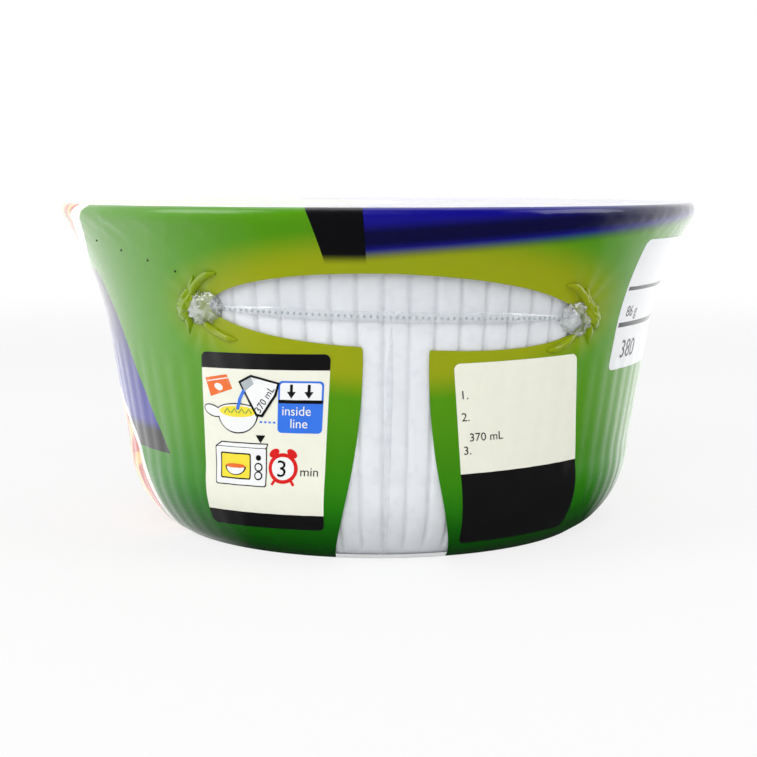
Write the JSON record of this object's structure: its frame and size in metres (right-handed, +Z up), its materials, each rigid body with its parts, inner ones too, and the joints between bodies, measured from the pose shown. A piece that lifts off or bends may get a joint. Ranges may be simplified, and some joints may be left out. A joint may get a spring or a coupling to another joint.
{
  "type": "instant noodle bowl",
  "caption": "Shut bowl of instant noodles: ribbed white foam bowl with a flat lid, shrink-wrapped in printed film with clear sealed ends",
  "frame": {"origin": "centre of the base, on the surface the pack stands on", "axes": "+Z up through the middle of the lid, -Y toward one sealed end of the film, +Y toward the other"},
  "size_m": [0.1462, 0.1462, 0.0734],
  "materials": {
    "foam": "white moulded foam with upright grooves",
    "lid_board": "white coated board",
    "film": "glossy printed shrink film, clear at both ends"
  },
  "bodies": {
    "root": {"bowl": "foam", "lid": "lid_board", "film": "film"}
  },
  "joints": []
}
